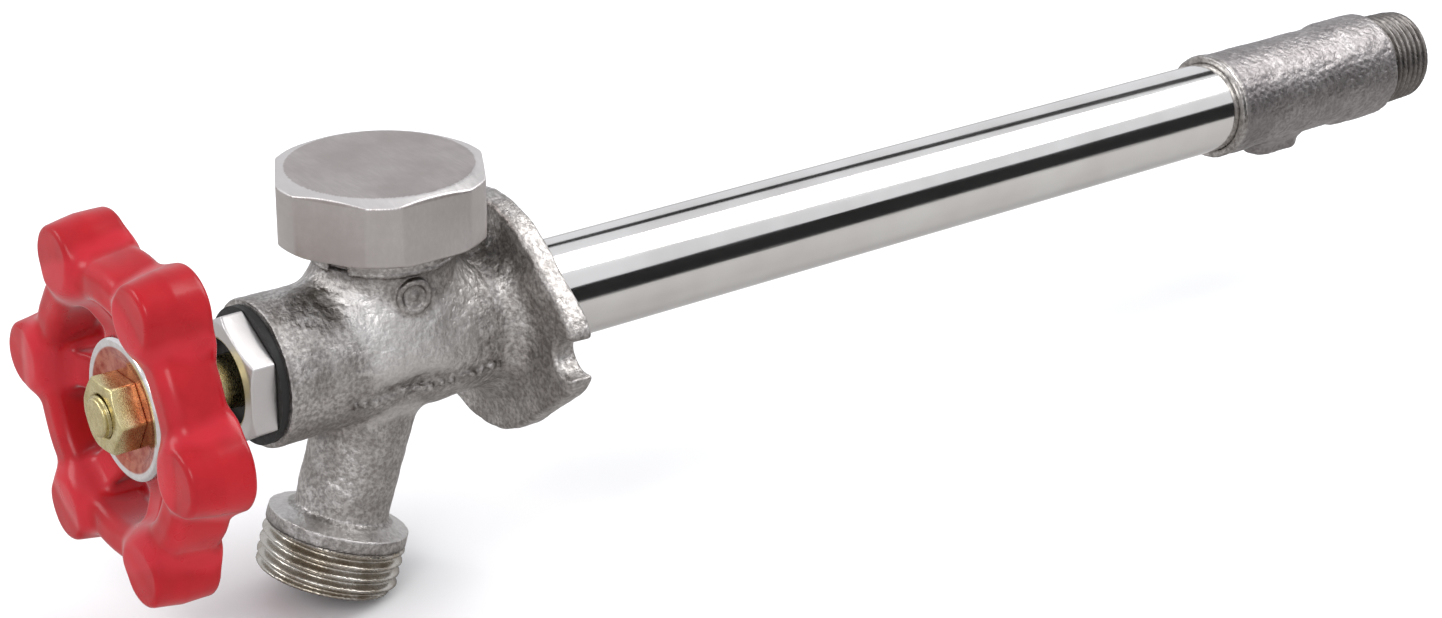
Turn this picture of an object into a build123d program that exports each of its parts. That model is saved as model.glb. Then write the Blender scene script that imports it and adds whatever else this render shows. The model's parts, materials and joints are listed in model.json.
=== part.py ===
"""Frost-free anti-siphon sillcock (hose bib).

Millimetres. Y is the pipe axis: the handwheel is at -Y and the inlet at +Y. Z is up.
The origin is on the pipe axis, in the plane of the wall flange's back face.
The valve is modelled closed, with its air vent open, as it stands with no pressure.
"""
from build123d import *
from math import cos, radians, sin
import os

# ---- driving dimensions ----
# tube and inlet
tube_od = 20.0
tube_wall = 1.0
inlet_end_y = 254.0            # nominal 10 in from the wall to the inlet end
inlet_length = 64.0
inlet_od = 23.2
tube_socket_depth = 10.0
solder_socket_r = 7.98         # 1/2 in copper tube
solder_socket_depth = 12.7
inlet_bore_r = 6.5
pipe_thread_r = 10.67          # 1/2 in male pipe thread
pipe_thread_length = 13.0
pipe_thread_end_r = 10.3
inlet_collar_od = 24.2
inlet_collar_length = 13.0
lug_width = 9.0
lug_length = 14.0
lug_drop = 2.6
seat_bore_r = 5.5
seat_rim_r = 7.2
seat_height = 3.0

# casting
barrel_od = 27.6
barrel_front_y = -53.0
chamber_r = 9.2
flange_r = 23.4
flange_ear_r = 11.2
flange_ear_offset = 19.6
flange_thickness = 5.0
flange_hub_r = 18.5
flange_hub = 5.0
slot_width = 7.4
slot_pitch = 56.0
wall_hub_depth = 16.0

# spout and hose thread
spout_y = -26.5
spout_tilt = 18.0
spout_od = 18.0
spout_bore_r = 6.4
spout_length = 47.2
hose_thread_r = 13.49          # 3/4-11.5 garden hose thread
hose_thread_length = 11.0
hose_collar_length = 4.0
hose_bore_r = 9.5
hose_bore_depth = 14.0

# vacuum breaker
breaker_y = -26.0
breaker_neck_od = 29.0
breaker_collar_r = 13.6
breaker_collar_height = 5.4
breaker_bore_r = 11.0
float_stop_z = 5.0
float_stop_bore_r = 7.0
cap_od = 40.2
cap_flats = 37.5
cap_height = 12.7
cap_bottom_z = 21.6
cap_wall = 2.6
cap_top = 2.6
cap_chamfer_width = 2.7
cap_chamfer_drop = 1.0
boss_top_z = 23.8
bonnet_wall = 2.4
bonnet_bottom_z = 12.0
bonnet_rim_z = 28.2
bonnet_rim = 3.0
guide_floor_z = 17.6
guide_floor = 2.2
port_count = 6
port_r = 1.5
vent_hole_r = 1.3
vent_hole_pitch_r = 5.6
o_ring_wire_r = 0.7
o_ring_z = 14.4
float_r = 8.8
float_thickness = 2.8
seal_thickness = 1.5
guide_pin_r = 2.0
float_travel = 2.4
spring_wire_r = 0.3
spring_coil_r = 3.1
spring_turns = 4

# bonnet nut and packing
nut_flats = 22.2
nut_thickness = 5.2
nut_chamfer = 1.0
gasket_od = 25.8
gasket_thickness = 2.3
shank_r = 10.4
shank_length = 14.0
packing_bore_r = 8.2
packing_bore_depth = 7.4
packing_length = 3.8
washer_thickness = 1.0

# stem and wheel
stem_r = 5.0
lead_thread_r = 6.3
lead_thread_length = 8.0
stem_travel = 8.0
stem_tail_y = -36.0
rod_r = 3.2
rod_socket_depth = 8.0
wheel_mid_y = -79.0
wheel_r = 35.6
wheel_thickness = 12.0
wheel_edge = 2.4
lobe_count = 6
lobe_r = 8.6
lobe_turn = 3.0
rim_r = 29.5
rim_width = 9.0
hub_r = 13.4
hub_length = 9.5
spoke_width = 7.0
spoke_thickness = 6.0
square_side = 7.6
stem_end_r = 3.95           # 5/16 in thread
disc_r = 13.1
disc_thickness = 0.8
disc_dish = 0.9
handle_nut_flats = 12.7
handle_nut_thickness = 5.2
stem_end_stand = 1.2

# washer carrier
holder_r = 7.6
holder_length = 11.0
holder_rib_width = 2.4
holder_rib_count = 3
holder_floor = 2.4
seat_washer_r = 6.9
seat_washer_thickness = 3.4
screw_head_r = 3.0
screw_head_height = 1.6
screw_shank_r = 1.6
seat_gap = 0.3
clip_inner_r = 2.5
clip_outer_r = 3.9
clip_thickness = 1.0
clip_gap_angle = 70.0
clip_set_back = 3.0

# clearances
running = 0.08
seal_clearance = 0.1
slide_clearance = 0.15
stop_gap = 0.3

# ---- sizes that follow ----
tube_r = tube_od / 2
tube_inner_r = tube_r - tube_wall
inlet_r = inlet_od / 2
inlet_front_y = inlet_end_y - inlet_length
tube_end_y = inlet_front_y + tube_socket_depth
barrel_r = barrel_od / 2
barrel_length = -barrel_front_y
gasket_front_y = barrel_front_y - gasket_thickness
nut_front_y = gasket_front_y - nut_thickness
shank_end_y = gasket_front_y + shank_length
packing_floor_y = nut_front_y + packing_bore_depth
thread_front_y = packing_floor_y + stop_gap + stem_travel
thread_end_y = thread_front_y + lead_thread_length
hub_front_y = wheel_mid_y + disc_dish
hub_back_y = hub_front_y + hub_length
disc_back_y = hub_front_y
nut_seat_y = disc_back_y - disc_thickness
stem_end_y = nut_seat_y - handle_nut_thickness - stem_end_stand
seat_y = tube_end_y
washer_face_y = seat_y - seat_gap
washer_back_y = washer_face_y - seat_washer_thickness
holder_front_y = washer_back_y - holder_length
rod_end_y = washer_back_y - holder_floor - stop_gap
clip_y = holder_front_y + clip_set_back
rib_outer_r = tube_inner_r - slide_clearance
rib_inner_r = holder_r - 0.3
poppet_z = float_stop_z + stop_gap
seal_z = poppet_z + float_thickness
collar_z = cap_bottom_z - breaker_collar_height
cap_inner_r = cap_od / 2 - cap_wall
bonnet_outer_r = breaker_bore_r
bonnet_inner_r = bonnet_outer_r - bonnet_wall
spring_bottom_z = seal_z + seal_thickness
pin_top_z = bonnet_rim_z - float_travel - stop_gap
spout_direction = Vector(0, -sin(radians(spout_tilt)), -cos(radians(spout_tilt)))
thread_start = spout_length - hose_thread_length
collar_start = thread_start - hose_collar_length


def across(y):
    """Plane across the pipe axis at y: local x is X, local normal is +Y."""
    return Plane(origin=(0, y, 0), x_dir=(1, 0, 0), z_dir=(0, 1, 0))


def above(z):
    """Level plane on the vacuum breaker's axis at height z."""
    return Plane(origin=(0, breaker_y, z), x_dir=(1, 0, 0), z_dir=(0, 0, 1))


def along_spout(distance):
    """Plane across the spout at a distance from the pipe axis, facing the outlet."""
    origin = Vector(0, spout_y, 0) + spout_direction * distance
    return Plane(origin=origin, x_dir=(1, 0, 0), z_dir=spout_direction)


def rod(plane, radius, length, mode=Mode.ADD):
    """Round bar from a plane, along its normal."""
    with BuildSketch(plane) as section:
        Circle(radius)
    extrude(section.sketch, amount=length, mode=mode)


def ring(plane, outer, inner, length):
    """Round ring from a plane, along its normal."""
    with BuildSketch(plane) as section:
        Circle(outer)
        Circle(inner, mode=Mode.SUBTRACT)
    extrude(section.sketch, amount=length)


def finish(part, label):
    """Name a finished piece and write it."""
    part.label = label
    export_step(part, f"parts/{label}.step")


os.makedirs("parts", exist_ok=True)

# ---- valve body: one casting ----
with BuildPart() as valve_body:
    rod(across(barrel_front_y), barrel_r, barrel_length)
    # conical hub and the two-eared flange
    with BuildSketch(across(-flange_thickness - flange_hub)):
        Circle(barrel_r + 0.6)
    with BuildSketch(across(-flange_thickness)):
        Circle(flange_hub_r)
    loft()
    with BuildSketch(across(-flange_thickness)):
        Circle(flange_r)
        with Locations((flange_ear_offset, 0), (-flange_ear_offset, 0)):
            Circle(flange_ear_r)
        make_hull()
    extrude(amount=flange_thickness)
    # vacuum breaker neck and its turned collar
    with BuildSketch(above(0)):
        Circle(breaker_neck_od / 2)
    with BuildSketch(above(collar_z)):
        Circle(breaker_collar_r - 0.6)
    loft()
    rod(above(collar_z), breaker_collar_r, boss_top_z - collar_z)
    # spout, collar and hose thread
    rod(along_spout(0), spout_od / 2, thread_start)
    with BuildSketch(along_spout(collar_start - hose_collar_length / 2)):
        Circle(spout_od / 2)
    with BuildSketch(along_spout(collar_start)):
        Circle(hose_thread_r - 0.3)
    loft()
    rod(along_spout(collar_start), hose_thread_r - 0.3, hose_collar_length)
    rod(along_spout(thread_start), hose_thread_r, hose_thread_length)
    # open screw slots at the flange's ends
    with BuildSketch(across(-flange_thickness)):
        with Locations((slot_pitch / 2, 0), (-slot_pitch / 2, 0)):
            Circle(slot_width / 2)
        with Locations((slot_pitch / 2 + flange_ear_r / 2, 0), (-slot_pitch / 2 - flange_ear_r / 2, 0)):
            Rectangle(flange_ear_r, slot_width)
    extrude(amount=flange_thickness, mode=Mode.SUBTRACT)
    # tube socket, water chamber and bonnet bore
    rod(across(-wall_hub_depth), tube_r, wall_hub_depth, Mode.SUBTRACT)
    rod(across(shank_end_y), chamber_r, -wall_hub_depth - shank_end_y, Mode.SUBTRACT)
    rod(across(barrel_front_y), shank_r, shank_end_y - barrel_front_y, Mode.SUBTRACT)
    # spout bore
    rod(along_spout(0), spout_bore_r, spout_length, Mode.SUBTRACT)
    rod(along_spout(spout_length - hose_bore_depth), hose_bore_r, hose_bore_depth, Mode.SUBTRACT)
    # vacuum breaker bore and the ledge that stops the float
    rod(above(0), float_stop_bore_r, float_stop_z, Mode.SUBTRACT)
    rod(above(float_stop_z), breaker_bore_r, boss_top_z - float_stop_z, Mode.SUBTRACT)
finish(valve_body.part, "valve_body")

# ---- supply tube ----
with BuildPart() as supply_tube:
    ring(across(-wall_hub_depth), tube_r, tube_inner_r, tube_end_y + wall_hub_depth)
finish(supply_tube.part, "supply_tube")

# ---- inlet fitting: socket for the tube, seat, solder socket and pipe thread ----
pipe_thread_y = inlet_end_y - pipe_thread_length
inlet_collar_y = pipe_thread_y - inlet_collar_length
with BuildPart() as inlet_fitting:
    with BuildSketch(Plane.XY):
        with BuildLine():
            Polyline(
                (0, inlet_front_y),
                (inlet_r - 0.8, inlet_front_y),
                (inlet_r, inlet_front_y + 0.8),
                (inlet_r - 0.4, inlet_collar_y),
                (inlet_collar_od / 2, inlet_collar_y + 2),
                (inlet_collar_od / 2, pipe_thread_y - 1.5),
                (pipe_thread_r, pipe_thread_y),
                (pipe_thread_r, pipe_thread_y + pipe_thread_length / 2),
                (pipe_thread_end_r, inlet_end_y - 0.8),
                (pipe_thread_end_r - 0.8, inlet_end_y),
                (0, inlet_end_y),
                close=True,
            )
        make_face()
    revolve(axis=Axis.Y)
    # cast lug under the fitting
    with BuildSketch(Plane.XY.offset(-inlet_r - lug_drop)):
        with Locations((0, inlet_front_y + inlet_length / 3)):
            SlotOverall(lug_length, lug_width, rotation=90)
    extrude(amount=lug_drop + inlet_r / 2)
    rod(across(inlet_front_y), tube_r, tube_socket_depth, Mode.SUBTRACT)
    with BuildSketch(across(seat_y)):
        Circle(tube_inner_r)
        Circle(seat_rim_r, mode=Mode.SUBTRACT)
    extrude(amount=seat_height, mode=Mode.SUBTRACT)
    rod(across(seat_y), seat_bore_r, seat_height * 2, Mode.SUBTRACT)
    rod(across(seat_y + seat_height * 2), inlet_bore_r, inlet_end_y - seat_y - seat_height * 2, Mode.SUBTRACT)
    rod(across(inlet_end_y - solder_socket_depth), solder_socket_r, solder_socket_depth, Mode.SUBTRACT)
finish(inlet_fitting.part, "inlet_fitting")

# ---- bonnet: hex packing nut with its shank, gasket, washer and packing ----
with BuildPart() as packing_nut:
    with BuildSketch(across(nut_front_y)):
        RegularPolygon(nut_flats / 2, 6, major_radius=False, rotation=30)
    extrude(amount=nut_thickness)
    with BuildSketch(Plane.XY):
        with BuildLine():
            Polyline(
                (0, nut_front_y),
                (nut_flats / 2 - 0.2, nut_front_y),
                (nut_flats / 2 + 2 * nut_chamfer, nut_front_y + nut_chamfer),
                (nut_flats / 2 + 2 * nut_chamfer, gasket_front_y),
                (0, gasket_front_y),
                close=True,
            )
        make_face()
    revolve(axis=Axis.Y, mode=Mode.INTERSECT)
    rod(across(gasket_front_y), shank_r, shank_length)
    rod(across(nut_front_y), packing_bore_r, packing_bore_depth, Mode.SUBTRACT)
    rod(across(packing_floor_y), lead_thread_r + running, shank_end_y - packing_floor_y, Mode.SUBTRACT)
finish(packing_nut.part, "packing_nut")

with BuildPart() as bonnet_gasket:
    ring(across(gasket_front_y), gasket_od / 2, shank_r, gasket_thickness)
finish(bonnet_gasket.part, "bonnet_gasket")

with BuildPart() as packing_washer:
    ring(across(packing_floor_y - washer_thickness), packing_bore_r, stem_r + running, washer_thickness)
finish(packing_washer.part, "packing_washer")

packing_y = packing_floor_y - washer_thickness - packing_length
with BuildPart() as stem_packing:
    ring(across(packing_y), packing_bore_r, stem_r + seal_clearance, packing_length)
finish(stem_packing.part, "stem_packing")

# ---- stem: threaded end, square, shaft, lead thread and socket for the rod ----
with BuildPart() as stem:
    rod(across(stem_end_y), stem_end_r, nut_seat_y - stem_end_y)
    with BuildSketch(across(nut_seat_y)):
        Rectangle(square_side, square_side)
    extrude(amount=hub_back_y - nut_seat_y)
    rod(across(hub_back_y), stem_r, stem_tail_y - hub_back_y)
    rod(across(thread_front_y), lead_thread_r, lead_thread_length)
    rod(across(stem_tail_y - rod_socket_depth), rod_r, rod_socket_depth, Mode.SUBTRACT)
finish(stem.part, "stem")

with BuildPart() as stem_rod:
    rod(across(stem_tail_y - rod_socket_depth), rod_r, rod_end_y - stem_tail_y + rod_socket_depth)
    with BuildSketch(across(clip_y - running)):
        Circle(rod_r + running)
        Circle(clip_inner_r - running, mode=Mode.SUBTRACT)
    extrude(amount=clip_thickness + 2 * running, mode=Mode.SUBTRACT)
finish(stem_rod.part, "stem_rod")

# ---- handwheel: six lobes on a rim, six spokes and a recessed hub ----
rim_inner_r = rim_r - rim_width
with BuildPart() as handwheel:
    with BuildSketch(across(wheel_mid_y - wheel_thickness / 2)):
        Circle(rim_r)
        with PolarLocations(wheel_r - lobe_r, lobe_count, start_angle=lobe_turn):
            Circle(lobe_r)
        Circle(rim_inner_r, mode=Mode.SUBTRACT)
    extrude(amount=wheel_thickness)
    chamfer(edges().group_by(Axis.Y)[0] + edges().group_by(Axis.Y)[-1], wheel_edge)
    with BuildSketch(across(hub_front_y)):
        Circle(hub_r)
    extrude(amount=hub_length)
    with BuildSketch(across(hub_front_y)):
        with PolarLocations((hub_r + rim_inner_r) / 2, lobe_count, start_angle=lobe_turn):
            Rectangle(rim_inner_r - hub_r + 6, spoke_width)
    extrude(amount=spoke_thickness)
    with BuildSketch(across(hub_front_y)):
        Rectangle(square_side, square_side)
    extrude(amount=hub_length, mode=Mode.SUBTRACT)
finish(handwheel.part, "handwheel")

# ---- identification disc: dished, with a raised rim ----
with BuildPart() as id_disc:
    with BuildSketch(Plane.XY):
        with BuildLine():
            Polyline(
                (square_side * 0.72, disc_back_y),
                (disc_r - 2.4, disc_back_y),
                (disc_r - 0.8, disc_back_y - disc_dish),
                (disc_r, disc_back_y - disc_dish),
                (disc_r, disc_back_y - disc_dish - disc_thickness),
                (disc_r - 1.2, disc_back_y - disc_dish - disc_thickness),
                (disc_r - 2.8, nut_seat_y),
                (square_side * 0.72, nut_seat_y),
                close=True,
            )
        make_face()
    revolve(axis=Axis.Y)
finish(id_disc.part, "id_disc")

with BuildPart() as handle_nut:
    with BuildSketch(across(nut_seat_y - handle_nut_thickness)):
        RegularPolygon(handle_nut_flats / 2, 6, major_radius=False)
        Circle(stem_end_r, mode=Mode.SUBTRACT)
    extrude(amount=handle_nut_thickness)
    chamfer(edges().group_by(Axis.Y)[0].filter_by(GeomType.LINE), 0.5)
finish(handle_nut.part, "handle_nut")

# ---- washer carrier: holder, seat washer, screw and clip ----
with BuildPart() as washer_holder:
    rod(across(holder_front_y), holder_r, holder_length)
    with BuildSketch(across(holder_front_y)):
        with PolarLocations((rib_outer_r + rib_inner_r) / 2, holder_rib_count):
            Rectangle(rib_outer_r - rib_inner_r, holder_rib_width)
    extrude(amount=holder_length)
    rod(across(holder_front_y), rod_r + running, rod_end_y + stop_gap - holder_front_y, Mode.SUBTRACT)
    rod(across(washer_back_y - holder_floor), screw_shank_r, holder_floor, Mode.SUBTRACT)
    rod(across(clip_y), clip_outer_r, clip_thickness, Mode.SUBTRACT)
finish(washer_holder.part, "washer_holder")

with BuildPart() as seat_washer:
    ring(across(washer_back_y), seat_washer_r, screw_shank_r, seat_washer_thickness)
finish(seat_washer.part, "seat_washer")

with BuildPart() as washer_screw:
    rod(across(washer_back_y - holder_floor), screw_shank_r, holder_floor + seat_washer_thickness)
    rod(across(washer_face_y), screw_head_r, screw_head_height)
finish(washer_screw.part, "washer_screw")

with BuildPart() as swivel_clip:
    with BuildSketch(across(clip_y)):
        Circle(clip_outer_r)
        Circle(clip_inner_r, mode=Mode.SUBTRACT)
        with BuildLine():
            Line((0, 0), (2 * clip_outer_r, 0))
            Line((0, 0), (2 * clip_outer_r * cos(radians(clip_gap_angle)), 2 * clip_outer_r * sin(radians(clip_gap_angle))))
            Line(
                (2 * clip_outer_r, 0),
                (2 * clip_outer_r * cos(radians(clip_gap_angle)), 2 * clip_outer_r * sin(radians(clip_gap_angle))),
            )
        make_face(mode=Mode.SUBTRACT)
    extrude(amount=clip_thickness)
finish(swivel_clip.part, "swivel_clip")

# ---- vacuum breaker: bonnet, O-ring, cap, float, seal and spring ----
with BuildPart() as breaker_bonnet:
    rod(above(bonnet_bottom_z), bonnet_outer_r, bonnet_rim_z - bonnet_bottom_z)
    rod(above(bonnet_rim_z), cap_inner_r, bonnet_rim)
    rod(above(bonnet_bottom_z), bonnet_inner_r, guide_floor_z - bonnet_bottom_z, Mode.SUBTRACT)
    upper_room = guide_floor_z + guide_floor
    rod(above(upper_room), bonnet_inner_r, bonnet_rim_z - upper_room, Mode.SUBTRACT)
    rod(above(guide_floor_z), guide_pin_r + running, guide_floor, Mode.SUBTRACT)
    with BuildSketch(above(guide_floor_z)):
        with PolarLocations(vent_hole_pitch_r, port_count):
            Circle(vent_hole_r)
    extrude(amount=guide_floor, mode=Mode.SUBTRACT)
    with Locations(above((boss_top_z + bonnet_rim_z) / 2)):
        with PolarLocations(0, port_count // 2):
            Cylinder(port_r, 2 * bonnet_outer_r + 1, rotation=(0, 90, 0), mode=Mode.SUBTRACT)
    with BuildSketch(above(o_ring_z - o_ring_wire_r)):
        Circle(bonnet_outer_r + 1)
        Circle(bonnet_outer_r - 2 * o_ring_wire_r, mode=Mode.SUBTRACT)
    extrude(amount=2 * o_ring_wire_r, mode=Mode.SUBTRACT)
finish(breaker_bonnet.part, "breaker_bonnet")

with BuildPart() as bonnet_o_ring:
    with BuildSketch(Plane.YZ):
        with Locations((breaker_y + bonnet_outer_r - o_ring_wire_r, o_ring_z)):
            Circle(o_ring_wire_r)
    revolve(axis=Axis((0, breaker_y, 0), (0, 0, 1)))
finish(bonnet_o_ring.part, "bonnet_o_ring")

cap_top_z = cap_bottom_z + cap_height
with BuildPart() as breaker_cap:
    with BuildSketch(above(cap_bottom_z)):
        Circle(cap_od / 2)
        RegularPolygon(cap_flats / 2, 6, major_radius=False, rotation=30, mode=Mode.INTERSECT)
    extrude(amount=cap_height)
    with BuildSketch(Plane.YZ):
        with BuildLine():
            Polyline(
                (breaker_y, cap_bottom_z),
                (breaker_y + cap_od / 2, cap_bottom_z),
                (breaker_y + cap_od / 2, cap_top_z - cap_chamfer_drop),
                (breaker_y + cap_od / 2 - cap_chamfer_width, cap_top_z),
                (breaker_y, cap_top_z),
                close=True,
            )
        make_face()
    revolve(axis=Axis((0, breaker_y, 0), (0, 0, 1)), mode=Mode.INTERSECT)
    rod(above(cap_bottom_z), cap_inner_r, cap_height - cap_top, Mode.SUBTRACT)
finish(breaker_cap.part, "breaker_cap")

with BuildPart() as breaker_poppet:
    rod(above(poppet_z), float_r, float_thickness)
    rod(above(seal_z), guide_pin_r, pin_top_z - seal_z)
finish(breaker_poppet.part, "breaker_poppet")

with BuildPart() as poppet_seal:
    ring(above(seal_z), bonnet_inner_r + bonnet_wall / 2, guide_pin_r, seal_thickness)
finish(poppet_seal.part, "poppet_seal")

spring_height = guide_floor_z - spring_bottom_z - 2 * spring_wire_r
with BuildPart() as breaker_spring:
    with BuildLine(above(spring_bottom_z + spring_wire_r)):
        coil = Helix(spring_height / spring_turns, spring_height, spring_coil_r)
    with BuildSketch(Plane(origin=coil @ 0, z_dir=coil % 0)):
        Circle(spring_wire_r)
    sweep(path=coil, is_frenet=True)
finish(breaker_spring.part, "breaker_spring")
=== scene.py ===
"""Looks of the frost-free hose bib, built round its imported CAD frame.

The cast and turned pieces are rebuilt as distance fields in millimetres, turned into meshes, and
scaled to metres. Every other piece keeps its CAD mesh and gets a node material.
"""

import json
from math import cos, pi, radians, sin

import bpy
import numpy as np
import openvdb
from mathutils import Matrix, Vector

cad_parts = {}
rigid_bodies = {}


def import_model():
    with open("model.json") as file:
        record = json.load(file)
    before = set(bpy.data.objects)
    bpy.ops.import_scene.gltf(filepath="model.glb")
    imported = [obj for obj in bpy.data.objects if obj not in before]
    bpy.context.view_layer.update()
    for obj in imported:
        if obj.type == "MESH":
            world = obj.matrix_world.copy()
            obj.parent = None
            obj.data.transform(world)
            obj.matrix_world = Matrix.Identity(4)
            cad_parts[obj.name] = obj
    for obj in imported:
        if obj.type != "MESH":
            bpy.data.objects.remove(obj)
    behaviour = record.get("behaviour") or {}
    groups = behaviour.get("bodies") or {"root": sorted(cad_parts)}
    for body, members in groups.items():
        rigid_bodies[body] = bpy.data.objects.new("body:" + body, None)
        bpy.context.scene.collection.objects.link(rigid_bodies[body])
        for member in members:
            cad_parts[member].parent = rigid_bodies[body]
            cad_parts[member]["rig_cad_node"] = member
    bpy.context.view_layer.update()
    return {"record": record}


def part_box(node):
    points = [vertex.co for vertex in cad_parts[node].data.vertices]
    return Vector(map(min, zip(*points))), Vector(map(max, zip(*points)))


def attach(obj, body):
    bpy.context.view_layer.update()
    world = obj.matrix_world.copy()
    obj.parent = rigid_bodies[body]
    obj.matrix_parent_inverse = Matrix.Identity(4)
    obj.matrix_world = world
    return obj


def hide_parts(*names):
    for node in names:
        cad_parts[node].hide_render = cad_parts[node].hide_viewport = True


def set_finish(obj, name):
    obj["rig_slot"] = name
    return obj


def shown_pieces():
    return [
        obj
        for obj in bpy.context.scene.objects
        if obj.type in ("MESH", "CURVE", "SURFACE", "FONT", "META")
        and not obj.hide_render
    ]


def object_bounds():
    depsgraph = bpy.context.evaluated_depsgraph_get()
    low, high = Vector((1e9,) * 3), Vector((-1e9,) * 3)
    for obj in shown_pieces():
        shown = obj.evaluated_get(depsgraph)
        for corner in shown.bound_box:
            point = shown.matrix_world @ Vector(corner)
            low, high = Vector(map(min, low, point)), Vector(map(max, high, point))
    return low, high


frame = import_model()
MM = 0.001


def span(node):
    """Lowest and highest corner of a CAD node, in millimetres."""
    low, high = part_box(node)
    return np.array(low) / MM, np.array(high) / MM


# ---------------------------------------------------------------- distance fields
def corner(u, v, k):
    """Meeting of two solids, with the edge between them rounded to k."""
    outside = np.hypot(np.maximum(u + k, 0), np.maximum(v + k, 0))
    return np.minimum(np.maximum(u + k, v + k), 0) + outside - k


def fillet(u, v, r):
    """Union of two solids, with a fillet of radius r where they meet."""
    return np.maximum(r, np.minimum(u, v)) - np.hypot(np.maximum(r - u, 0), np.maximum(r - v, 0))


def cut(solid, hole):
    """Solid with a sharp-edged hole."""
    return np.maximum(solid, -hole)


def slab(t, low, high):
    """Between two parallel planes."""
    return np.abs(t - (low + high) / 2) - (high - low) / 2


def bar(rho, t, radius, low, high, k):
    """Round bar from low to high along t, with its ends rounded to k."""
    return corner(rho - radius, slab(t, low, high), k)


def cone(rho, radius, depth, slope):
    """Inside a cone that has this radius at depth 0 and widens by slope times the depth."""
    return (rho - radius - depth * slope) / np.hypot(1.0, slope)


def hexagon(u, v, flats):
    """Hexagon with two flats across v, its corners slightly rounded."""
    k = 0.25
    a = np.abs(v) - flats / 2
    b = np.abs(v / 2 + u * sin(pi / 3)) - flats / 2
    c = np.abs(v / 2 - u * sin(pi / 3)) - flats / 2
    return corner(corner(a, b, k), c, k)


def thread(rho, angle, t, crest, depth, pitch, low, high, lead_in=0.8):
    """Right-handed 60 degree thread between low and high along t, tapered over its last lead_in."""
    crest_flat, flank_slope, evenness = 0.12, 1.732, 0.7
    phase = np.mod(t / pitch - angle / (2 * pi), 1.0)
    flank = (np.abs(phase - 0.5) * pitch - crest_flat * pitch / 2) * flank_slope
    radius = crest - np.clip(flank, 0, depth)
    radius = np.minimum(radius, crest - lead_in + (high - t))
    # below its low end the thread's field falls away, so that it doesn't shade the surface there
    radius = np.minimum(radius, crest + 0.2 - (low - t))
    return np.maximum((rho - radius) * evenness, slab(t, low, high))


def grain(x, y, z, size, seed):
    """Soft repeatable unevenness from about -1 to 1, and about size millimetres across."""
    rng = np.random.default_rng(seed)
    total = 0
    for _ in range(7):
        direction = rng.normal(size=3)
        direction *= rng.uniform(0.6, 1.5) * 2 * pi / (size * np.linalg.norm(direction))
        phase = rng.uniform(0, 6.28)
        total = total + np.sin(x * direction[0] + y * direction[1] + z * direction[2] + phase)
    return total / 4.0


def rise(t, low, high):
    """From 0 at low to 1 at high, smoothly."""
    s = np.clip((t - low) / (high - low), 0, 1)
    return s * s * (3 - 2 * s)


# ---------------------------------------------------------------- meshes
def rough_mesh(field, low, high, voxel):
    """Points and quads of a field's surface, good to a part of a voxel."""
    count = np.ceil((high - low) / voxel).astype(int) + 1
    axes = [low[i] + voxel * np.arange(count[i]) for i in range(3)]
    places = np.meshgrid(*axes, indexing="ij", sparse=True)
    x, y, z = (np.broadcast_to(a, tuple(count)).astype(np.float32) for a in places)
    grid = openvdb.FloatGrid(10.0)
    grid.copyFromArray(np.ascontiguousarray(field(x, y, z), dtype=np.float32))
    points, quads = grid.convertToQuads(0.0)
    return low + voxel * points.astype(float), quads


def settle(field, points, voxel):
    """The points moved onto the surface itself, and the surface's normals."""
    step = 0.02
    for _ in range(3):
        value = field(*points.T)
        slope = np.stack([(field(*(points + step * axis).T) - value) / step for axis in np.eye(3)], 1)
        size = np.maximum((slope**2).sum(1), 0.05)
        points = points - slope * np.clip(value / size, -voxel / 2, voxel / 2)[:, None]
    return points, slope / np.sqrt(size)[:, None]


def openness(field, points, normal):
    """How open the surface is round each point: below 1 in a crevice, above 1 on an edge."""
    near, far = 1.2, 3.0
    nearby = (field(*(points + near * normal).T) - field(*(points - near * normal).T)) / (2 * near)
    farther = field(*(points + far * normal).T) / far
    return np.clip(nearby * 0.5 + farther * 0.5, 0, 1.5)


def store(mesh, name, values):
    """A number for each point of the mesh, which its material reads."""
    attribute = mesh.attributes.new(name, "FLOAT", "POINT")
    attribute.data.foreach_set("value", np.asarray(values, np.float32))


def build(name, field, low, high, voxel, node, body, slot, finish_and_painted_light=None):
    """Mesh of a distance field: it stands for a CAD node, and rides on that node's body.

    The last argument gives each point a number that its material reads as a kind of finish; on the
    packing nut it also marks painted shade in the hole, and on the disc a painted reflection.
    """
    low, high = np.array(low, float) - 2 * voxel, np.array(high, float) + 2 * voxel
    points, quads = rough_mesh(field, low, high, voxel)
    points, normal = settle(field, points, voxel)
    mesh = bpy.data.meshes.new(name)
    mesh.from_pydata((points * MM).tolist(), [], quads.tolist())
    mesh.update()
    mesh.shade_smooth()
    faces = np.array([polygon.normal for polygon in mesh.polygons])
    if (faces * normal[quads[:, 0]]).sum() < 0:
        mesh.flip_normals()
    # the materials read this as painted shade in crevices and as brighter edges
    store(mesh, "open", openness(field, points, normal))
    store(mesh, "finish_and_painted_light", np.zeros(len(points)) if finish_and_painted_light is None else finish_and_painted_light(*points.T))
    piece = bpy.data.objects.new(name, mesh)
    bpy.context.scene.collection.objects.link(piece)
    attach(piece, body)
    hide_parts(node)
    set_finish(piece, slot)
    return piece


# ---------------------------------------------------------------- sizes, in millimetres
body_low, body_high = span("valve_body")
nut_low, nut_high = span("packing_nut")
cap_low, cap_high = span("breaker_cap")
wheel_low, wheel_high = span("handwheel")
inlet_low, inlet_high = span("inlet_fitting")
stem_low, stem_high = span("stem")
disc_low, disc_high = span("id_disc")
end_nut_low, end_nut_high = span("handle_nut")
gasket_front = span("bonnet_gasket")[0][1]

# the casting's barrel, and the tube behind it
barrel_front = body_low[1]
barrel_r = 13.8
tube_r = 10.0

# vacuum breaker, along z
breaker_y = (cap_low[1] + cap_high[1]) / 2
breaker_seat = 5.0
neck_top = 18.0
collar_foot, collar_top = 17.2, body_high[2]

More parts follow.
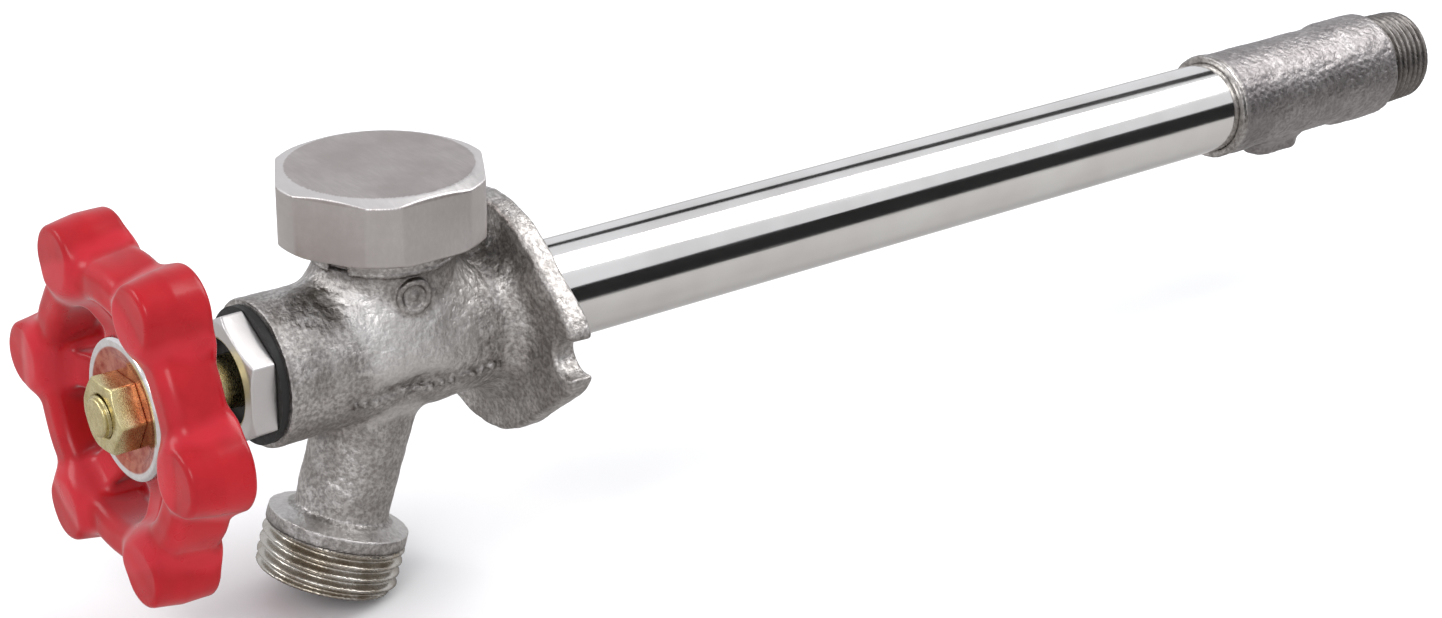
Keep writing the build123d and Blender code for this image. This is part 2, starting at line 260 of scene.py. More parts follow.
# spout: where its line leaves the barrel's, how far it leans, and places along it
spout_y, tilt = -26.5, radians(18.0)
spout = np.array([0.0, -sin(tilt), -cos(tilt)])
across_spout = np.array([0.0, cos(tilt), -sin(tilt)])
spout_end = 47.2
hose_thread_start = spout_end - 9.1
flare_start = hose_thread_start - 4.0
mouth_start = spout_end - 10.9

# packing nut's hole, cap's top chamfer, handwheel
nut_hole_depth = 7.4
cap_chamfer_r, cap_chamfer_slope = 17.4, 2.7
wheel_half = 6.0
wheel_mid = wheel_low[1] + wheel_half
wheel_r = wheel_high[0]


def breaker_frame(x, y):
    """Distance from the vacuum breaker's axis, and angle round it."""
    return np.hypot(x, y - breaker_y), np.arctan2(y - breaker_y, x)


def spout_frame(x, y, z):
    """Distance from the spout's line, angle round it and distance along it."""
    along = (y - spout_y) * spout[1] + z * spout[2]
    side = (y - spout_y) * across_spout[1] + z * across_spout[2]
    return np.hypot(x, side), np.arctan2(side, x), along


# ---------------------------------------------------------------- valve body
def flange_outline(x, z):
    """Two-eared flange with an open slot in each ear."""
    big, small, offset = 23.4, 11.2, 19.6
    slot_x, slot_half = 28.0, 3.7
    ax, az = np.abs(x), np.abs(z)
    b = (big - small) / offset
    a = (1 - b * b) ** 0.5
    k = a * ax - b * az
    plain = np.where(k < 0, np.hypot(ax, az) - big, az * a + ax * b - big)
    plain = np.where(k > a * offset, np.hypot(ax - offset, az) - small, plain)
    slot = np.where(ax > slot_x, az, np.hypot(ax - slot_x, az)) - slot_half
    return corner(plain, -slot, 0.8)


def with_neck(d, x, y, z):
    """The casting so far and the vacuum breaker's neck, with its turned collar and three notches."""
    from_axis, angle = breaker_frame(x, y)
    neck = corner(from_axis - (14.4 - 0.09 * z), slab(z, 0.0, neck_top), 0.6)
    collar = bar(from_axis, z, 13.6, collar_foot, collar_top, 0.25)
    first_notch, notch_half, notch_floor, notch_height = radians(-69), 2.0, 12.4, 1.8
    turn = np.mod(angle - first_notch + pi / 3, 2 * pi / 3) - pi / 3
    notch = np.maximum(np.abs(turn) * from_axis - notch_half, notch_floor - from_axis)
    notch = np.maximum(notch, slab(z, collar_foot, collar_foot + notch_height))
    return np.minimum(fillet(d, neck, 4.5), corner(collar, -notch, 0.15))


def with_cast_mark(d, x, y, z):
    """The casting so far and the round cast mark on its neck, a ring and a dot with no sign in it."""
    from_axis, angle = breaker_frame(x, y)
    mark_angle, mark_z, neck_r = radians(-7.0), 13.1, 13.5
    from_mark = np.hypot(neck_r * (angle - mark_angle), z - mark_z)
    ring = np.hypot(from_mark - 2.9, from_axis - 13.35) - 0.65
    dot = np.hypot(from_mark, (from_axis - 13.0) * 1.5) - 0.9
    return fillet(d, np.minimum(ring, dot), 0.3)


def with_spout(d, x, y, z):
    """The casting so far and the spout, which widens to a collar above the hose thread."""
    reach, _, along = spout_frame(x, y, z)
    pipe_r = 9.15 - 0.012 * (along - 12)
    d = fillet(d, corner(reach - pipe_r, slab(along, 2.0, flare_start + 1.9), 0.2), 2.0)
    flare_r = np.minimum(13.3, 8.9 + (along - flare_start) * 3.0)
    flare = corner(reach - flare_r, slab(along, flare_start, hose_thread_start + 0.2), 0.35)
    return fillet(d, flare, 2.0)


def with_seam(d, x, y, z):
    """The casting so far and the uneven witness line of the mould along its side."""
    seam_angle, seam_front, seam_back = radians(-22.0), -41.0, -9.5
    sideways = (np.arctan2(z, x) - seam_angle) * barrel_r + 0.5 * grain(x, y, z, 6.0, 12)
    outward = np.hypot(x, z) - barrel_r - 0.1
    seam = np.hypot(sideways, outward) - 0.7 - 0.4 * grain(x, y, z, 2.4, 11)
    return fillet(d, corner(seam, slab(y, seam_front, seam_back), 0.3), 0.35)


def without_bores(d, x, y, z):
    """The casting with its holes."""
    rho = np.hypot(x, z)
    from_breaker, _ = breaker_frame(x, y)
    reach, _, along = spout_frame(x, y, z)
    # the packing nut's pocket, the chamber and the tube's socket
    pocket_back, socket_front = -41.3, -16.0
    d = cut(d, np.maximum(rho - 10.4, y - pocket_back))
    d = cut(d, np.maximum(rho - 9.2, slab(y, pocket_back - 0.2, socket_front + 0.1)))
    d = cut(d, np.maximum(rho - tube_r, socket_front - y))
    # the port up to the vacuum breaker, and the bore that holds it
    d = cut(d, np.maximum(from_breaker - 7.0, slab(z, 0.0, breaker_seat + 0.1)))
    d = cut(d, np.maximum(from_breaker - 11.0, breaker_seat - z))
    # the outlet and its wider mouth
    d = cut(d, np.maximum(reach - 6.4, -along))
    mouth_r = 9.5 + np.maximum(along - spout_end + 0.8, 0)
    return np.where(along > mouth_start, cut(d, reach - mouth_r), d)


def body_field(x, y, z):
    """Casting: barrel, wall flange, neck and spout, with a rough skin, then what is machined."""
    barrel_end, flange_front = -1.0, -5.0
    uneven_r = barrel_r + 0.25 * grain(x, y, z, 21.0, 3)
    d = bar(np.hypot(x, z), y, uneven_r, barrel_front, barrel_end, 0.7)
    d = fillet(d, corner(flange_outline(x, z), slab(y, flange_front, 0.0), 1.1), 5.0)
    for feature in (with_neck, with_cast_mark, with_spout, with_seam):
        d = feature(d, x, y, z)
    d = d - 0.05 * grain(x, y, z, 2.6, 5) - 0.09 * grain(x, y, z, 7.0, 6)
    # flat front and wall faces, then the hose thread and the bores
    d = np.maximum(np.maximum(d, barrel_front - y), y)
    reach, about, along = spout_frame(x, y, z)
    screw = thread(reach, about, along, 13.49, 1.43, 2.209, hose_thread_start, spout_end)
    return without_bores(np.minimum(d, screw), x, y, z)


def body_turned(x, y, z):
    """How machined it is: 0.5 on the breaker's collar and the front face, 1 on the hose thread."""
    from_breaker, _ = breaker_frame(x, y)
    _, _, along = spout_frame(x, y, z)
    collar = rise(z, neck_top - 0.2, neck_top + 0.2) * (from_breaker < 14.5) * 0.5
    face = rise(-y, -barrel_front - 0.3, -barrel_front) * 0.5
    screw = rise(along, hose_thread_start - 0.2, hose_thread_start + 0.2)
    return np.maximum(np.maximum(collar, face), screw)


build("valve_casting", body_field, body_low, body_high, 0.36,
      "valve_body", "body", "cast_nickel", body_turned)


# ---------------------------------------------------------------- inlet fitting
inlet_front, inlet_end = inlet_low[1], inlet_high[1]
pipe_thread_start = inlet_end - 13.0


def inlet_field(x, y, z):
    """Casting with a lip, a lug and a collar, then its pipe thread and its bores."""
    rho = np.hypot(x, z)
    collar = rise(y, inlet_end - 27.0, inlet_end - 24.8)
    radius = 11.45 - 0.1 * rise(y, inlet_front + 2, inlet_front + 6) + 0.65 * collar
    d = corner(rho - radius, slab(y, inlet_front, pipe_thread_start), 0.7)
    lip = bar(rho, y, 11.6, inlet_front, inlet_front + 2.0, 0.5)
    # the lug under the casting, and a low swelling between it and the lip
    lug = np.hypot(x, np.maximum(np.abs(y - inlet_front - 21.3) - 3.2, 0)) - 4.3
    lug = corner(lug, slab(z, inlet_low[2], 0.0), 1.3)
    heel = np.hypot(np.hypot(x * 0.8, (y - inlet_front - 7.5) * 0.6), z + 8.6) - 3.6
    d = fillet(fillet(fillet(d, lip, 0.5), lug, 2.2), heel, 1.5)
    d = d - 0.05 * grain(x, y, z, 2.4, 7) - 0.1 * grain(x, y, z, 8.0, 8) - 0.05 * grain(x, y, z, 1.6, 9)
    d = np.maximum(d, inlet_front - y)
    # tapered pipe thread: 1 in 16 on the diameter
    crest = 10.67 - np.maximum(y - pipe_thread_start, 0) / 32
    angle = np.arctan2(z, x)
    screw = thread(rho, angle, y, crest, 1.2, 1.814, pipe_thread_start - 0.2, inlet_end, 0.6)
    return inlet_bores(np.minimum(d, screw), rho, y)


def inlet_bores(d, rho, y):
    """The fitting with the tube's socket, the valve's seat and chamber, and the solder socket."""
    tube_stop, chamber_back = inlet_front + 10.0, inlet_front + 16.0
    d = cut(d, np.maximum(rho - tube_r, y - tube_stop))
    solder_socket = 7.98 + np.maximum(y - inlet_end + 0.6, 0)
    bore = rho - np.where(y > inlet_end - 12.7, solder_socket, 6.5)
    d = cut(d, np.maximum(bore, chamber_back - y))
    groove = np.maximum(np.maximum(rho - 9.0, 7.2 - rho), slab(y, tube_stop - 0.1, tube_stop + 3.0))
    return cut(cut(d, groove), np.maximum(rho - 5.5, slab(y, tube_stop - 0.1, chamber_back + 0.1)))


def inlet_turned(x, y, z):
    """Dark on the casting (-0.9), machined on its front lip and its thread (0.5)."""
    threaded = rise(y, pipe_thread_start - 0.4, pipe_thread_start + 0.2)
    lip = 1 - rise(y, inlet_front + 0.8, inlet_front + 1.6)
    return 1.4 * np.maximum(threaded, lip) - 0.9


build("inlet_casting", inlet_field, inlet_low, inlet_high, 0.33,
      "inlet_fitting", "body", "cast_nickel", inlet_turned)


# ---------------------------------------------------------------- packing nut
def nut_field(x, y, z):
    """Hex with both ends chamfered, a round shank behind it, and a stepped hole."""
    rho = np.hypot(x, z)
    front, back = nut_low[1], gasket_front
    prism = corner(hexagon(z, x, nut_high[0] - nut_low[0]), slab(y, front, back), 0.12)
    prism = corner(prism, cone(rho, 11.3, y - front, 1.9), 0.2)
    prism = corner(prism, cone(rho, 12.5, back - y, 1.9), 0.2)
    d = np.minimum(prism, bar(rho, y, 10.4, back - 0.5, nut_high[1], 0.2))
    hole_r = 8.2 + np.maximum(front + 0.5 - y, 0)
    d = corner(d, -np.maximum(rho - hole_r, y - front - nut_hole_depth), 0.1)
    return cut(d, rho - 6.38)


def nut_finish_and_hole_shade(x, y, z):
    """Bright outside, brassy on the hole's lip, and black in the hole as painted shade."""
    depth = y - nut_low[1]
    return np.select([np.hypot(x, z) > 8.9, depth < 0.7, depth < 8], [-0.55, 1.0, 2.0], 0.0)


build("hex_packing_nut", nut_field, nut_low, nut_high, 0.2,
      "packing_nut", "body", "plated_turned", nut_finish_and_hole_shade)


# ---------------------------------------------------------------- vacuum breaker cap
def cap_field(x, y, z):
    """Round cap with six flats on its side, both its edges chamfered, and hollow underneath."""
    rho, _ = breaker_frame(x, y)
    low, top = cap_low[2], cap_high[2]
    across_corners, across_flats = cap_high[1] - cap_low[1], cap_high[0] - cap_low[0]
    flats = hexagon(y - breaker_y, x, across_flats)
    d = corner(corner(rho - across_corners / 2, flats, 0.2), slab(z, low, top), 0.25)
    d = corner(d, cone(rho, cap_chamfer_r, top - z, cap_chamfer_slope), 0.15)
    d = corner(d, cone(rho, 19.3, z - low, 1.5), 0.15)
    return cut(d, np.maximum(rho - 17.5, z - top + 2.6))


def cap_turned(x, y, z):
    """Brightest on the top chamfer, bright on the sides, plain on the top."""
    rho, _ = breaker_frame(x, y)
    depth = cap_high[2] - z
    on_chamfer = rho > cap_chamfer_r - 0.2 + depth * cap_chamfer_slope
    return np.select([depth >= 1.25, on_chamfer], [-0.25, -0.5], 0.0)


build("hex_breaker_cap", cap_field, cap_low, cap_high, 0.28,
      "breaker_cap", "body", "plated_turned", cap_turned)


# ---------------------------------------------------------------- handwheel
def wheel_field(x, y, z):
    """Rim with six finger knobs, and six spokes that dip to a recessed hub with a square hole."""
    rho, angle = np.hypot(x, z), np.arctan2(z, x)
    w = y - wheel_mid
    first_knob = radians(-3.0)
    turn = np.mod(angle - first_knob + pi / 6, pi / 3) - pi / 6
    u, v = rho * np.cos(turn), rho * np.sin(turn)
    # knobs and rim are wider towards the back
    back = np.clip((w + wheel_half) / (2 * wheel_half), 0, 1)
    knob_r = 6.1 + 2.3 * back
    knob = np.hypot(u - (wheel_r - 1.0 + np.minimum(2 * back, 1.0) - knob_r), v) - knob_r
    knob = corner(knob, slab(w, -wheel_half, wheel_half), 0.9)
    rim = corner(corner(rho - 27.3 - 2.4 * back, 20.5 - rho, 0.2), slab(w, -4.7, 5.8), 2.4)
    d = fillet(rim, knob, 3.4)
    spoke_front = -1.3 + 2.4 * rise(-rho, -21.0, -14.5)
    spoke = corner(np.abs(v) - 3.6, slab(rho, 9.0, 23.0), 0.3)
    d = fillet(d, corner(spoke, slab(w, spoke_front, wheel_half), 1.2), 2.0)
    hub_front, hub_back = wheel_mid + 0.9, wheel_high[1]
    hub = bar(rho, y, 13.3, hub_front, hub_back - 3.0, 0.8)
    boss = bar(rho, y, 9.5, hub_front, hub_back, 1.0)
    d = fillet(fillet(d, hub, 1.5), boss, 1.0)
    d = d - 0.06 * grain(x, y, z, 7.0, 21)
    # flat face of the hub, and the square hole for the stem
    d = np.where(rho > 13.0, d, np.maximum(d, hub_front - y))
    square = np.maximum(np.abs(x), np.abs(z)) - 3.8
    return cut(d, np.maximum(square, hub_front - 1 - y))


handwheel = build("cast_handwheel", wheel_field, wheel_low, wheel_high, 0.36,
                  "handwheel", "spindle", "red_enamel")
# the photograph shows no red reflection of the wheel on the metal behind it
handwheel.visible_glossy = False


# ---------------------------------------------------------------- stem, disc and handle nut
def stem_field(x, y, z):
    """Threaded front end, square for the wheel, round shank, and lead thread inside the valve."""
    rho, angle = np.hypot(x, z), np.arctan2(z, x)
    front, end = stem_low[1], stem_high[1]
    seat, back = disc_high[1] - 1.7, wheel_high[1]
    d = bar(rho, y, 3.6, front + 0.02, seat + 1.0, 0.4)
    d = np.minimum(d, thread(rho, angle, -y, 3.95, 0.6, 1.411, -(seat + 0.5), -front - 0.15, 0.5))
    square = np.maximum(np.abs(x), np.abs(z)) - 3.75
    d = np.minimum(d, corner(square, slab(y, seat, back), 0.2))
    d = np.minimum(d, bar(rho, y, 5.0, back - 0.5, end, 0.3))
    lead = nut_low[1] + nut_hole_depth + 8.3
    d = np.minimum(d, thread(rho, angle, y, 6.28, 0.9, 2.0, lead, lead + 8.0, 0.5))
    return cut(d, np.maximum(rho - 3.2, end - 8.0 - y))


build("threaded_stem", stem_field, stem_low, stem_high, 0.2, "stem", "spindle", "brass")


def disc_field(x, y, z):
    """Sheet dished towards its edge, with a rolled bead round it and a low rib."""
    rho = np.hypot(x, z)
    front, back = disc_low[1], disc_high[1]
    dish = 0.9 * rise(rho, 8.5, 12.0)
    d = corner(slab(y + dish, back - 0.8, back), slab(rho, 5.47, 12.6), 0.15)
    bead = np.hypot(rho - 12.55, y - (front + 0.55)) - 0.53
    rib = np.hypot(rho - 10.2, y - (back - 0.85)) - 0.28
    return fillet(fillet(d, bead, 0.3), rib, 0.25)


def disc_painted_reflection(x, y, z):
    """1 on the front field inside the bright rim, where the painted reflection of the red wheel goes.
    """
    return rise(-np.hypot(x, z), -11.7, -11.4) * (y < disc_high[1] - 0.3)


build("dished_disc", disc_field, disc_low, disc_high, 0.16,
      "id_disc", "spindle", "bright_aluminium", disc_painted_reflection)


def end_nut_field(x, y, z):
    """Small hex nut, chamfered in front."""
    rho = np.hypot(x, z)
    front, back = end_nut_low[1], end_nut_high[1]
    d = corner(hexagon(x, z, 12.65), slab(y, front, back), 0.12)
    d = corner(d, cone(rho, 6.35, y - front, 1.9), 0.15)
    hole_r = 3.98 + np.maximum(front + 0.4 - y, 0)
    return corner(d, -(rho - hole_r), 0.05)


build("hex_handle_nut", end_nut_field, end_nut_low, end_nut_high, 0.16,
      "handle_nut", "spindle", "brass")


# ---------------------------------------------------------------- materials
def add(tree, kind, inputs=None, **settings):
    """A node with its settings and the values or links of its inputs."""
    made = tree.nodes.new(kind)
    for key, value in settings.items():
        setattr(made, key, value)
    for key, value in (inputs or {}).items():
        if isinstance(value, bpy.types.NodeSocket):
            tree.links.new(value, made.inputs[key])
        else:
            made.inputs[key].default_value = value
    return made


def blank(name):
    """A new material, its tree, its shader and its place in the mesh."""
    made = bpy.data.materials.new(name)
    made.use_nodes = True
    tree = made.node_tree
    place = add(tree, "ShaderNodeTexCoord").outputs["Object"]
    return made, tree, tree.nodes["Principled BSDF"], place


def stored(tree, name):
    """The number that store() left at each point of the mesh."""
    return add(tree, "ShaderNodeAttribute", attribute_name=name).outputs["Fac"]


def noise(tree, place, scale, detail, roughness=0.55, stretch=None):
    """Noise from 0 to 1; stretch is how much finer it is along x, y and z."""
    if stretch:
        place = add(tree, "ShaderNodeMapping", {"Vector": place, "Scale": stretch}).outputs["Vector"]
    inputs = {"Vector": place, "Scale": scale, "Detail": detail, "Roughness": roughness}
    return add(tree, "ShaderNodeTexNoise", inputs).outputs["Fac"]


def spread(tree, value, low, high, to_low, to_high):
    """value from low to high, taken to the range to_low to to_high."""
    inputs = {"Value": value, "From Min": low, "From Max": high, "To Min": to_low, "To Max": to_high}
    return add(tree, "ShaderNodeMapRange", inputs).outputs["Result"]


def mix(tree, factor, a, b):
    """Two colours mixed."""
    return add(tree, "ShaderNodeMix", {0: factor, 6: a, 7: b}, data_type="RGBA").outputs[2]


def patches(tree, cloud, a, b, low=0.35, high=0.65):
    """Two colours in soft patches: a where the noise is low, b where it is high."""
    return mix(tree, spread(tree, cloud, low, high, 0, 1), a, b)


def calc(tree, operation, a, b):
    """One sum on two values."""
    return add(tree, "ShaderNodeMath", {0: a, 1: b}, operation=operation).outputs[0]


def bump(tree, shader, height, distance, strength):
    """Relief on the shader, distance metres high."""
    made = add(tree, "ShaderNodeBump", {"Height": height, "Distance": distance, "Strength": strength})
    tree.links.new(made.outputs["Normal"], shader.inputs["Normal"])


def surface(tree, shader, colour, rough, metallic=0.0):
    """Colour and roughness of the shader; metallic is 1 on bare metal."""
    tree.links.new(colour, shader.inputs["Base Color"])
    tree.links.new(rough, shader.inputs["Roughness"])
    shader.inputs["Metallic"].default_value = metallic


def rgb(r, g, b):
    return (r, g, b, 1.0)


def cast_metal():
    """Sand-cast surface with a dull nickel plate, with painted shade darkening its crevices, and
    brighter on edges.

    The stored finish number from 0 to 0.5 is machined smooth, on to 1 is warmer, and below 0 is darker.
    """
    made, tree, shader, place = blank("cast_nickel_look")
    finish_and_painted_light, open_ = stored(tree, "finish_and_painted_light"), stored(tree, "open")
    cloud = noise(tree, place, 160.0, 4.0)
    fine = noise(tree, place, 1250.0, 5.0, 0.62)
    pits = noise(tree, place, 520.0, 3.0, 0.5)
    colour = patches(tree, cloud, rgb(0.43, 0.405, 0.385), rgb(0.66, 0.635, 0.615))
    colour = mix(tree, spread(tree, fine, 0.42, 0.60, 0.6, 0), colour, rgb(0.17, 0.155, 0.145))
    # painted shade: darker where the surface lies in a crevice
    colour = mix(tree, spread(tree, open_, 0.95, 0.55, 0.0, 0.75), colour, rgb(0.12, 0.108, 0.1))
    colour = mix(tree, spread(tree, open_, 1.02, 1.12, 0.0, 0.55), colour, rgb(0.78, 0.76, 0.74))
    warm = patches(tree, cloud, rgb(0.42, 0.37, 0.30), rgb(0.60, 0.57, 0.52), 0.4, 0.6)
    colour = mix(tree, spread(tree, finish_and_painted_light, 0.5, 1.0, 0.0, 0.8), colour, warm)
    colour = mix(tree, spread(tree, finish_and_painted_light, 0.0, -1.0, 0.0, 0.6), colour, rgb(0.20, 0.18, 0.19))
    rough = spread(tree, pits, 0.3, 0.7, 0.30, 0.52)
    rough = calc(tree, "MULTIPLY", rough, spread(tree, finish_and_painted_light, 0.0, 1.0, 1.0, 0.6))
    surface(tree, shader, colour, rough, 1.0)
    height = calc(tree, "ADD", calc(tree, "MULTIPLY", fine, 0.45), pits)
    height = calc(tree, "MULTIPLY", height, spread(tree, finish_and_painted_light, 0.0, 0.5, 1.0, 0.12))
    bump(tree, shader, height, 0.00042, 0.9)
    return made


def turned_nickel():
    """Turned and plated, with fine tool marks.

    The stored number below 0 is brighter, from 0 to 1 is brassier, and from 1.1 to 1.9 goes to black,
    painted shade for the inside of a hole.
    """
    made, tree, shader, place = blank("plated_turned_look")
    finish_and_painted_light = stored(tree, "finish_and_painted_light")
    cloud = noise(tree, place, 90.0, 3.0)
    marks = noise(tree, place, 260.0, 6.0, 0.7, (1.0, 6.0, 3.0))
    colour = patches(tree, cloud, rgb(0.43, 0.38, 0.365), rgb(0.52, 0.475, 0.46))
    colour = mix(tree, spread(tree, marks, 0.42, 0.62, 0.28, 0), colour, rgb(0.30, 0.27, 0.25))
    colour = mix(tree, spread(tree, finish_and_painted_light, 0.0, -1.0, 0.0, 1.0), colour, rgb(0.88, 0.87, 0.86))
    colour = mix(tree, spread(tree, finish_and_painted_light, 0.0, 1.0, 0.0, 1.0), colour, rgb(0.42, 0.35, 0.18))
    # painted shade: black inside the packing nut's hole
    colour = mix(tree, spread(tree, finish_and_painted_light, 1.1, 1.9, 0.0, 1.0), colour, rgb(0.006, 0.006, 0.006))
    surface(tree, shader, colour, spread(tree, marks, 0.3, 0.7, 0.33, 0.46), 1.0)
    bump(tree, shader, marks, 0.00006, 0.5)
    return made


def chrome():
    """Polished chrome with faint draw lines along the tube."""
    made, tree, shader, place = blank("chrome_tube_look")
    lines = noise(tree, place, 900.0, 3.0, 0.5, (1.0, 0.02, 1.0))
    cloud = noise(tree, place, 60.0, 2.0)
    colour = patches(tree, cloud, rgb(0.74, 0.72, 0.70), rgb(0.83, 0.82, 0.80))
    surface(tree, shader, colour, spread(tree, lines, 0.3, 0.7, 0.07, 0.13), 1.0)
    bump(tree, shader, lines, 0.00003, 0.4)
    return made


def enamel():
    """Glossy red enamel over a die casting: slight orange peel, painted shade in recesses, and paler on
    edges.
    """
    made, tree, shader, place = blank("red_enamel_look")
    open_ = stored(tree, "open")
    cloud = noise(tree, place, 110.0, 4.0)
    peel = noise(tree, place, 240.0, 1.0, 0.5)
    colour = patches(tree, cloud, rgb(0.33, 0.002, 0.007), rgb(0.41, 0.004, 0.010))
    # painted shade: darker in the wheel's recess and other crevices
    colour = mix(tree, spread(tree, open_, 0.98, 0.6, 0.0, 0.8), colour, rgb(0.10, 0.001, 0.002))
    colour = mix(tree, spread(tree, open_, 1.03, 1.14, 0.0, 0.3), colour, rgb(0.62, 0.03, 0.05))
    surface(tree, shader, colour, spread(tree, peel, 0.0, 1.0, 0.20, 0.42))
    bump(tree, shader, peel, 0.00005, 0.15)
    shader.inputs["Specular IOR Level"].default_value = 0.25
    shader.inputs["Coat Weight"].default_value = 0.15
    shader.inputs["Coat Roughness"].default_value = 0.14
    return made


def brass():
    """Turned brass, a little dull, with fine marks."""
    made, tree, shader, place = blank("brass_look")
    cloud = noise(tree, place, 260.0, 4.0)
    marks = noise(tree, place, 1500.0, 4.0, 0.6, (1.0, 3.0, 1.0))
    colour = patches(tree, cloud, rgb(0.60, 0.50, 0.24), rgb(0.80, 0.72, 0.42))
    colour = mix(tree, spread(tree, marks, 0.4, 0.6, 0.3, 0), colour, rgb(0.36, 0.27, 0.10))
    # painted shade: darker in crevices such as the thread roots
    crevice = spread(tree, stored(tree, "open"), 0.9, 0.5, 0.0, 0.7)
    colour = mix(tree, crevice, colour, rgb(0.16, 0.11, 0.03))
    surface(tree, shader, colour, spread(tree, marks, 0.3, 0.7, 0.20, 0.36), 1.0)
    bump(tree, shader, marks, 0.00005, 0.5)
    return made


def bright_disc():
    """Pressed bright aluminium with fine rings, and a painted reflection of the red wheel on its front
    field, where the stored number is 1.
    """
    made, tree, shader, place = blank("bright_aluminium_look")
    cloud = noise(tree, place, 500.0, 4.0)
    axes = add(tree, "ShaderNodeSeparateXYZ", {"Vector": place})
    flat = add(tree, "ShaderNodeCombineXYZ", {"X": axes.outputs["X"], "Y": axes.outputs["Z"], "Z": 0.0})
    inputs = {"Vector": flat.outputs["Vector"], "Scale": 700.0, "Distortion": 0.3}
    wave = add(tree, "ShaderNodeTexWave", inputs, wave_type="RINGS", rings_direction="SPHERICAL")
    bright = patches(tree, cloud, rgb(0.76, 0.72, 0.71), rgb(0.88, 0.86, 0.86))
    red = patches(tree, cloud, rgb(0.42, 0.085, 0.06), rgb(0.62, 0.22, 0.15), 0.4, 0.6)
    # painted reflection: the red of the wheel on the disc's front field
    colour = mix(tree, stored(tree, "finish_and_painted_light"), bright, red)
    surface(tree, shader, colour, spread(tree, cloud, 0.3, 0.7, 0.14, 0.26), 1.0)
    bump(tree, shader, wave.outputs["Fac"], 0.00002, 0.35)
    return made


def rubber():
    """Matt black rubber."""
    made, tree, shader, place = blank("black_rubber_look")
    speck = noise(tree, place, 1400.0, 3.0)
    colour = mix(tree, speck, rgb(0.003, 0.003, 0.003), rgb(0.012, 0.012, 0.011))
    surface(tree, shader, colour, spread(tree, speck, 0.3, 0.7, 0.45, 0.62))
    bump(tree, shader, speck, 0.00008, 0.5)
    return made


def plastic():
    """Moulded white plastic of the float."""
    made, tree, shader, place = blank("white_plastic_look")
    speck = noise(tree, place, 900.0, 3.0)
    colour = mix(tree, speck, rgb(0.70, 0.69, 0.65), rgb(0.82, 0.81, 0.78))
    surface(tree, shader, colour, spread(tree, speck, 0.3, 0.7, 0.35, 0.5))
    bump(tree, shader, speck, 0.00004, 0.4)
    return made


def spring_steel():
    """Drawn steel wire."""
    made, tree, shader, place = blank("spring_steel_look")
    lines = noise(tree, place, 2200.0, 3.0)
    colour = mix(tree, lines, rgb(0.42, 0.42, 0.42), rgb(0.62, 0.62, 0.62))
    surface(tree, shader, colour, spread(tree, lines, 0.3, 0.7, 0.22, 0.36), 1.0)
    bump(tree, shader, lines, 0.00003, 0.4)
    return made


looks = {
    "cast_nickel": cast_metal(),
    "chrome_tube": chrome(),
    "plated_turned": turned_nickel(),
    "brass": brass(),
    "black_rubber": rubber(),
    "white_plastic": plastic(),
    "spring_steel": spring_steel(),
    "red_enamel": enamel(),
    "bright_aluminium": bright_disc(),
}
slots = {part["node"]: part["material_slot"] for part in frame["record"]["subparts"]}
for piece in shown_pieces():
    slot_name = piece.get("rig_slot") or slots[piece["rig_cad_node"]]
    piece.data.materials.clear()
    piece.data.materials.append(looks[slot_name])

# ---------------------------------------------------------------- floor, light and camera
floor_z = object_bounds()[0].z - 0.0003


def sheet(name, centre, along, up, colour, shown=True):
    """Rectangle given by two half edges; one that isn't shown only appears in reflections."""
    centre, along, up = Vector(centre), Vector(along), Vector(up)
    mesh = bpy.data.meshes.new(name)
    corners = [centre - along - up, centre + along - up, centre + along + up, centre - along + up]
    mesh.from_pydata(corners, [], [(0, 1, 2, 3)])
    card = bpy.data.objects.new(name, mesh)
    bpy.context.scene.collection.objects.link(card)
    made, tree, shader, place = blank(name + "_look")
    speck = noise(tree, place, 40.0, 2.0)
    tint = mix(tree, speck, colour, tuple(min(1.0, c * 1.01) for c in colour))
    tree.links.new(tint, shader.inputs["Base Color"])
    shader.inputs["Roughness"].default_value = 0.9
    mesh.materials.append(made)
    if not shown:
        card.visible_camera = False
        card.visible_diffuse = False
        card.visible_shadow = False


sheet("floor", (0, 0.4, floor_z), (4, 0, 0), (0, 4, 0), rgb(0.93, 0.93, 0.93))
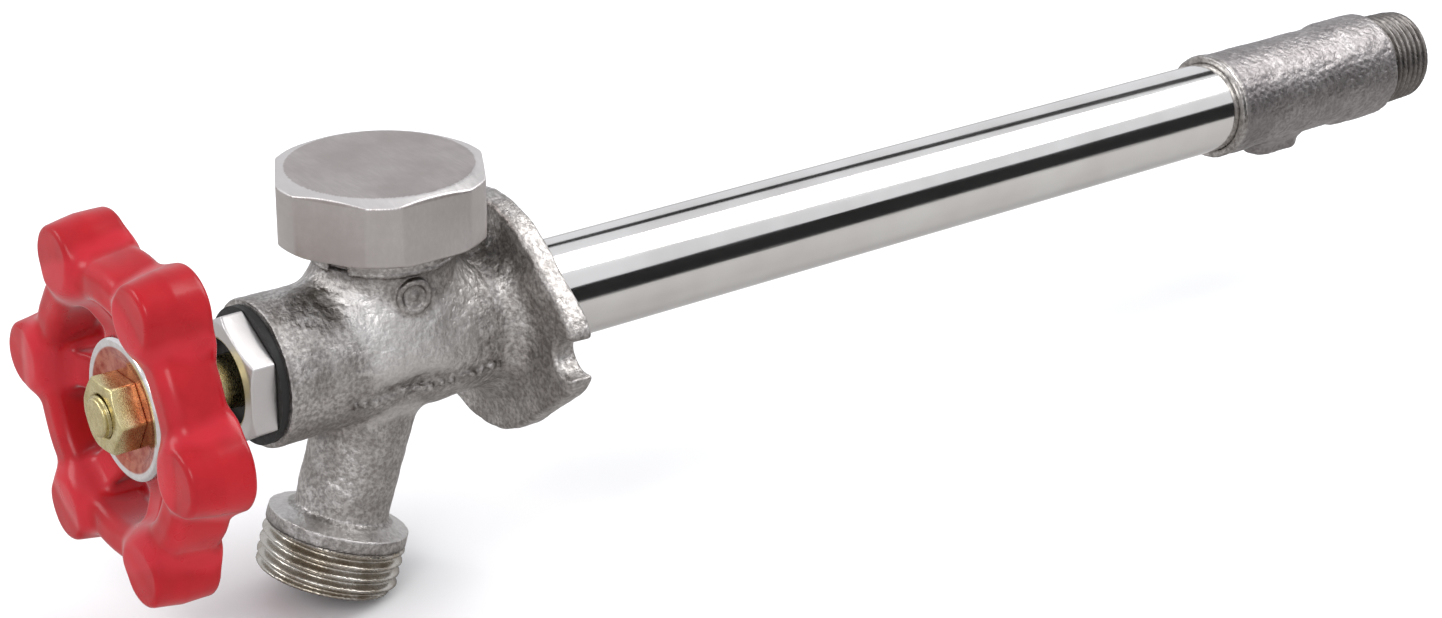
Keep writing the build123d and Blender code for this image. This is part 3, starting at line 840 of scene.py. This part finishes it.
# what the bright metal mirrors: a dark edge beside the tube, the white table as a grey sheet of painted
# shade, and a dark panel above
sheet("dark_strip", (0.21, 0.35, 0.014), (0, 0.27, 0), (0.0, 0, 0.064),
      rgb(0.004, 0.004, 0.004), shown=False)
# painted shade: a grey sheet that stands for the white table in shade
sheet("shaded_table_card", (0, 0.4, floor_z + 0.0001), (4, 0, 0), (0, 4, 0),
      rgb(0.42, 0.41, 0.40), shown=False)
sheet("dark_panel", (-0.52, 0.72, 0.62), (0.28, 0.22, 0), (0.03, -0.04, 0.06),
      rgb(0.02, 0.02, 0.02), shown=False)


def softbox(name, place, target, size, power):
    """Rectangular studio light that points at a target."""
    data = bpy.data.lights.new(name, "AREA")
    data.shape = "RECTANGLE"
    data.size, data.size_y = size
    data.energy = power
    lamp = bpy.data.objects.new(name, data)
    bpy.context.scene.collection.objects.link(lamp)
    lamp.location = place
    lamp.rotation_mode = "QUATERNION"
    lamp.rotation_quaternion = (Vector(target) - Vector(place)).to_track_quat("-Z", "Y")


softbox("top_light", (0.2, 0.75, 0.95), (0, 0.05, 0), (0.75, 0.8), 9.0)
softbox("front_light", (-0.5, -0.9, 0.75), (0, 0, 0), (0.7, 0.5), 4.5)
softbox("side_light", (0.75, -0.75, 0.85), (0, -0.03, 0), (0.5, 0.5), 4.0)

world = bpy.data.worlds.new("studio")
bpy.context.scene.world = world
world.use_nodes = True
background = world.node_tree.nodes["Background"]
background.inputs["Color"].default_value = rgb(0.95, 0.96, 1.0)
background.inputs["Strength"].default_value = 0.85

azimuth, elevation, roll = radians(52.073), radians(23.464), radians(0.766)
target, distance = Vector((0.05107, 0.01275, 0.01368)), 0.54430
forward = Vector((-sin(azimuth) * cos(elevation), cos(azimuth) * cos(elevation), -sin(elevation)))
right = Vector((cos(azimuth), sin(azimuth), 0))
up = right.cross(forward)
right, up = right * cos(roll) + up * sin(roll), up * cos(roll) - right * sin(roll)
lens = bpy.data.cameras.new("camera")
lens.sensor_width = 36.0
lens.lens = 76.2591
lens.clip_start, lens.clip_end = 0.01, 20.0
camera = bpy.data.objects.new("camera", lens)
bpy.context.scene.collection.objects.link(camera)
camera.matrix_world = Matrix((right, up, -forward)).transposed().to_4x4()
camera.location = target - forward * distance
bpy.context.scene.camera = camera
bpy.context.scene.view_settings.view_transform = "Standard"
